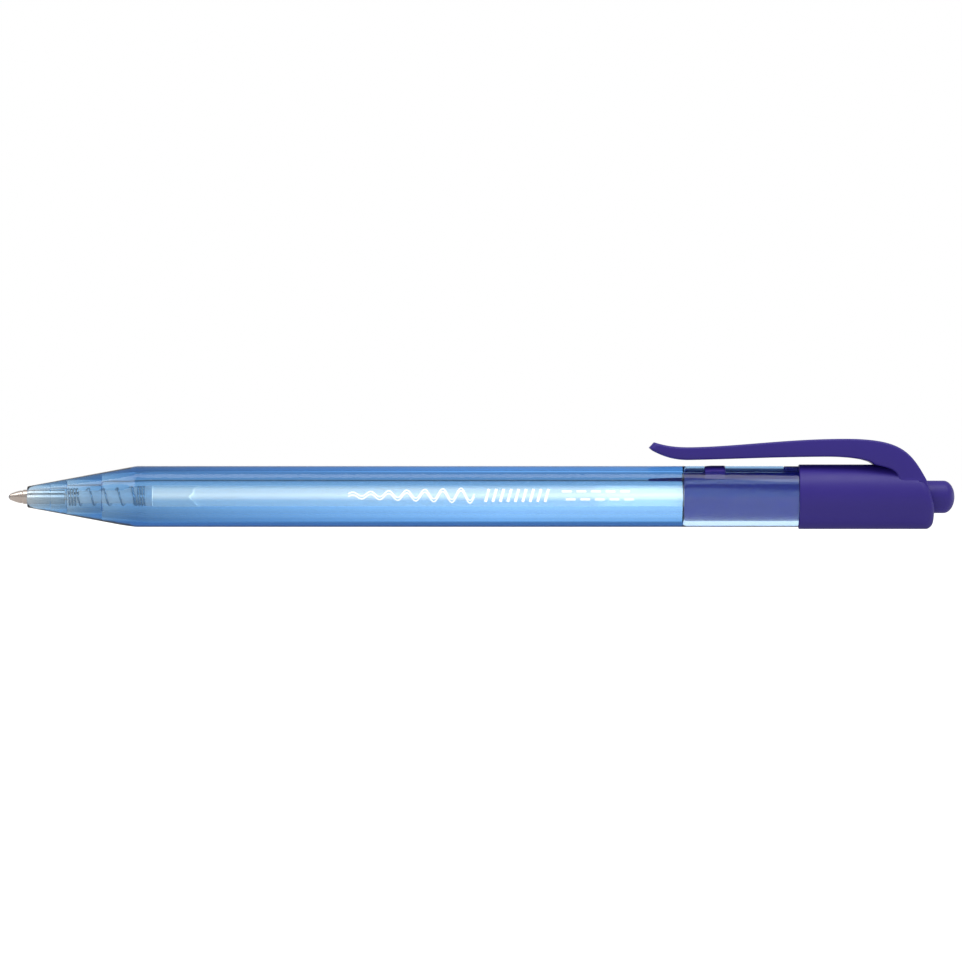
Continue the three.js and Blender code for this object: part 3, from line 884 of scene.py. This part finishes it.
def polar_block(name, x_range, half_degrees, r_low, top_at):
    """A block on the sleeve with upright sides. top_at(t) is its top radius from its front (0) to its rear (1)."""
    steps_x, steps_a = 12, 20
    grid_top, grid_low, verts, faces = [], [], [], []
    for i in range(steps_x + 1):
        t = i / steps_x
        x = x_range[0] + (x_range[1] - x_range[0]) * t
        for grid, radius in ((grid_top, top_at(t)), (grid_low, r_low)):
            row = []
            for j in range(steps_a + 1):
                y = BARREL_R * math.sin(math.radians(half_degrees * (2 * j / steps_a - 1)))
                row.append(len(verts))
                verts.append((x, y, math.sqrt(radius**2 - y**2)))
            grid.append(row)
    for grid in (grid_top, grid_low):
        for i in range(steps_x):
            for j in range(steps_a):
                faces.append((grid[i][j], grid[i][j + 1], grid[i + 1][j + 1], grid[i + 1][j]))
    for i in range(steps_x):
        for j in (0, steps_a):
            faces.append((grid_top[i][j], grid_top[i + 1][j], grid_low[i + 1][j], grid_low[i][j]))
    for j in range(steps_a):
        for i in (0, steps_x):
            faces.append((grid_top[i][j], grid_top[i][j + 1], grid_low[i][j + 1], grid_low[i][j]))
    return new_object(name, verts, faces)


def soften_edges(obj, width=0.06, degrees=40):
    modifier = obj.modifiers.new("edges", "BEVEL")
    modifier.width = width
    modifier.segments = 3
    modifier.limit_method = "ANGLE"
    modifier.angle_limit = math.radians(degrees)
    bpy.context.view_layer.update()
    made = bpy.data.meshes.new_from_object(obj.evaluated_get(bpy.context.evaluated_depsgraph_get()))
    obj.modifiers.clear()
    obj.data = made
    return obj


def rear_cap(rings, split):
    shell = boolean(cap_body(), loft("shoulder", rings[split:]), "UNION")
    shell = boolean(shell, cap_bore(), "DIFFERENCE")
    shell.name = "cap_shell"
    return weld(shell, 3e-3)


def snap_tab():
    gap = 0.06
    proud = BARREL_R + 0.06
    tab = polar_block(
        "snap_tab", (WINDOW_X[0] + gap, WINDOW_X[1] - gap), WINDOW_HALF_ANGLE - 0.8, SLEEVE_R - 0.3,
        lambda t: proud - 0.1 * max(0, 1 - t / 0.35) ** 1.5,
    )
    return soften_edges(tab)


def key():
    return soften_edges(polar_block(
        "key", (NOTCH_X + 0.15, CAP_X + 0.4), NOTCH_HALF_ANGLE - 0.8, SLEEVE_R - 0.3, lambda t: BARREL_R - 0.04
    ))


# ---- Button, rotor and refill ------------------------------------------------------------------
def push_button():
    end, r, dome = BUTTON_NODE_X[1], BUTTON_R, BUTTON_DOME
    outline = rounded([
        (40.6, STEM_BORE_R, 0.05), (40.6, 2.3, 0.2), (59.6, 2.3, 0.1), (59.6, 3.15, 0.15), (61.6, 3.15, 0.15),
        (61.6, r, 0.1), (end - dome, r, 0.0),
    ])
    for k in range(1, 25):
        a = math.pi / 2 * k / 24
        outline.append(Vector((end - dome + dome * math.sin(a), r * math.cos(a))))
    outline[-1].y = 0
    outline += [Vector((STEM_BORE_X, 0)), Vector((STEM_BORE_X, STEM_BORE_R))]
    return revolve("button", outline, 120)


def ball():
    r = (BALL_NODE_X[1] - BALL_NODE_X[0]) / 2
    centre = sum(BALL_NODE_X) / 2
    steps = 24
    outline = [Vector((centre - r * math.cos(math.pi * k / steps), r * math.sin(math.pi * k / steps)))
               for k in range(steps + 1)]
    outline[0].y = outline[-1].y = 0
    return revolve("ball", outline, 48)


def writing_tip():
    ball_x = sum(BALL_NODE_X) / 2
    rear = SHANK_X[1]
    outline = rounded([
        (ball_x - 0.19, 0.39, 0.0), (ball_x - 0.2, 0.44, 0.03), (ball_x + 0.2, 0.6, 0.15),
        (ball_x + 0.8, 0.82, 0.2), (ball_x + 1.5, 1.0, 0.1), (ball_x + 1.62, 0.97, 0.04), (ball_x + 1.78, 0.97, 0.04),
        (ball_x + 1.9, 1.1, 0.08), (ball_x + 2.2, 1.115, 0.1), (-64.4, 1.115, 0.08), (-64.4, 0.5, 0.05),
        (rear, 0.5, 0.05), (rear, 0.2, 0.02), (ball_x + 0.6, 0.2, 0.05),
    ])
    for k in range(9):
        a = math.radians(26 + (117 - 26) * k / 8)
        outline.append(Vector((ball_x + 0.43 * math.cos(a), 0.43 * math.sin(a))))
    return revolve("tip", outline, 96)


def tip_holder():
    """Natural moulding: a neck inside the spring, a flange for it to push on, and a plug in the tube."""
    return revolve("holder", rounded([
        (-64.1, 0.8, 0.05), (-64.1, 1.0, 0.08), (-52.6, 1.0, 0.2), (-51.85, 1.45, 0.08), (-50.95, 1.45, 0.08),
        (-50.95, 1.04, 0.05), (-45.2, 1.04, 0.2), (-44.1, 0.6, 0.1), (-44.6, 0.3, 0.05), (-57.7, 0.3, 0.05),
        (-57.7, 0.8, 0.05),
    ]), 80)


def holder_fork():
    """The forked end of the holder, a thin shell round the front of the tube."""
    front, low, high = -50.9, 1.455, 1.52
    segments, steps = 96, 12
    verts, faces = [], []
    for r in (low, high):
        for i in range(steps + 1):
            for j in range(segments):
                a = 2 * math.pi * j / segments
                end = FORK_NOTCH_X + FORK_PRONG * abs(math.sin(a))
                verts.append((front + (end - front) * i / steps, r * math.cos(a), r * math.sin(a)))
    shell = (steps + 1) * segments
    for j in range(segments):
        k = (j + 1) % segments
        for i in range(steps):
            a, b = i * segments, (i + 1) * segments
            faces.append((a + j, a + k, b + k, b + j))
            faces.append((shell + a + j, shell + b + j, shell + b + k, shell + a + k))
        for i in (0, steps):
            a = i * segments
            faces.append((a + j, a + k, shell + a + k, shell + a + j))
    return new_object("holder_fork", verts, faces)


def refill_tube():
    return revolve("tube", rounded([
        (-50.93, 1.06, 0.03), (-50.93, 1.45, 0.06), (TUBE_X[1], 1.45, 0.06), (TUBE_X[1], 1.06, 0.03),
    ]), 80)


def ink():
    return revolve("ink_column", [
        Vector(p) for p in ((-43.9, 0), (-43.9, 0.95), (17.6, 1.0), (18, 0.7), (17.7, 0.3), (17.6, 0))
    ], 48)


def spring():
    """Round wire in a coil, tight at both ends and wide between them."""
    wire_r, coil_r = 0.15, 1.3
    tight_turns, open_turns, tight_pitch = 3.5, 4.0, 0.44
    start, end = SPRING_NODE_X[0] + wire_r, SPRING_NODE_X[1] - wire_r
    open_pitch = (end - start - 2 * tight_turns * tight_pitch) / open_turns
    turns = 2 * tight_turns + open_turns
    per_turn, sides = 48, 12
    path = []
    for i in range(int(turns * per_turn) + 1):
        turn = i / per_turn
        wide = min(max(turn - tight_turns, 0), open_turns)
        x = start + (turn - wide) * tight_pitch + wide * open_pitch
        a = 2 * math.pi * turn
        path.append(Vector((x, coil_r * math.cos(a), coil_r * math.sin(a))))
    rings = []
    for i, p in enumerate(path):
        tangent = (path[min(i + 1, len(path) - 1)] - path[max(i - 1, 0)]).normalized()
        outwards = Vector((0, p.y, p.z)).normalized()
        side = tangent.cross(outwards).normalized()
        up = side.cross(tangent)
        ring = []
        for k in range(sides):
            a = 2 * math.pi * k / sides
            ring.append(p + (up * math.cos(a) + side * math.sin(a)) * wire_r)
        rings.append(ring)
    return loft("coil", rings)


# ---- Printed decoration ------------------------------------------------------------------------
def ribbon(points, width, verts, faces):
    """A raised line of ink wrapped on the near side, along points given as (along, up round the barrel)."""
    thickness = 0.02
    start = len(verts)
    for i, p in enumerate(points):
        along = (points[min(i + 1, len(points) - 1)] - points[max(i - 1, 0)]).normalized()
        across = Vector((-along.y, along.x)) * width / 2
        for side in (1, -1):
            q = p + across * side
            angle = math.pi - q.y / BARREL_R
            surface = barrel_outer(q.x, angle, BARREL_R) + 0.003
            for r in (surface, surface + thickness):
                verts.append((q.x, r * math.cos(angle), r * math.sin(angle)))
    count = len(points)
    for i in range(count - 1):
        a = start + 4 * i
        b = a + 4
        for m, n in ((0, 2), (3, 1), (1, 0), (2, 3)):
            faces.append((a + m, a + n, b + n, b + m))
    for a in (start, start + 4 * (count - 1)):
        faces.append((a, a + 1, a + 3, a + 2))


def decoration():
    """Ripples that grow, leaning bars and short dashes: a pattern with no lettering."""
    verts, faces = [], []
    middle = PRINT_MIDDLE
    for shift in (-0.22, 0.22):
        wave = []
        for i in range(241):
            t = i / 240
            height = (0.25 + 0.75 * t) * math.sin(2 * math.pi * 7 * t)
            wave.append(Vector((-20.6 + 19.5 * t, middle + shift + height)))
        ribbon(wave, 0.2, verts, faces)
    for i in range(9):
        x = 0.6 + 1.15 * i
        ribbon([Vector((x, middle - 1.0)), Vector((x + 0.55, middle + 1.0))], 0.42, verts, faces)
    for row, up in enumerate((0.62, -0.62)):
        for i in range(5):
            x = 12.4 + 2.25 * i + 0.6 * row
            ribbon([Vector((x, middle + up)), Vector((x + 1.5, middle + up))], 0.34, verts, faces)
    return new_object("barrel_print", verts, faces)


# ---- Assembly ----------------------------------------------------------------------------------
stage()

CLEAR_BLUE, INDIGO, MILKY, NATURAL = clear_blue(), indigo(), milky(), natural("natural_plastic")
TIP_METAL, CARBIDE, INK, STEEL = nickel_silver(), carbide(), ink_paste(), spring_steel()

rings, split = clip_rings()


def fit(obj, material, slot, body, *nodes):
    place(obj, material)
    if nodes:
        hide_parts(*nodes)
    if body:
        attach(obj, body)
    return obj


fit(barrel(), CLEAR_BLUE, "clear_blue_plastic", "barrel", "barrel")
fit(rear_cap(rings, split), INDIGO, "indigo_plastic", "barrel", "rear_cap")
fit(sleeve(), sleeve_indigo(), "indigo_plastic", "barrel")
fit(join("snap_parts", [snap_tab(), key()]), INDIGO, "indigo_plastic", "barrel")
clip = fit(loft("clip_arm", rings[: split + 1]), INDIGO, "indigo_plastic", None, "clip")
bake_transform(clip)
fit(push_button(), INDIGO, "indigo_plastic", "button", "push_button")
fit(refill_tube(), MILKY, "milky_plastic", "refill", "refill_tube")
fit(tip_holder(), NATURAL, "natural_plastic", "refill", "tip_holder")
# The holder's fork, with a painted highlight in its material.
fit(holder_fork(), natural("natural_painted_highlight", thin=True), "natural_plastic", "refill")
fit(writing_tip(), TIP_METAL, "nickel_silver", "refill", "writing_tip")
fit(ink(), INK, "ink_paste", "refill", "ink")
fit(ball(), CARBIDE, "carbide", "ball", "tip_ball")
coil = fit(spring(), STEEL, "spring_steel", None, "return_spring")
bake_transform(coil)
fit(decoration(), white_print(), "milky_plastic", "barrel")

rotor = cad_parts["index_rotor"]
rotor.data.materials.clear()
rotor.data.materials.append(NATURAL)
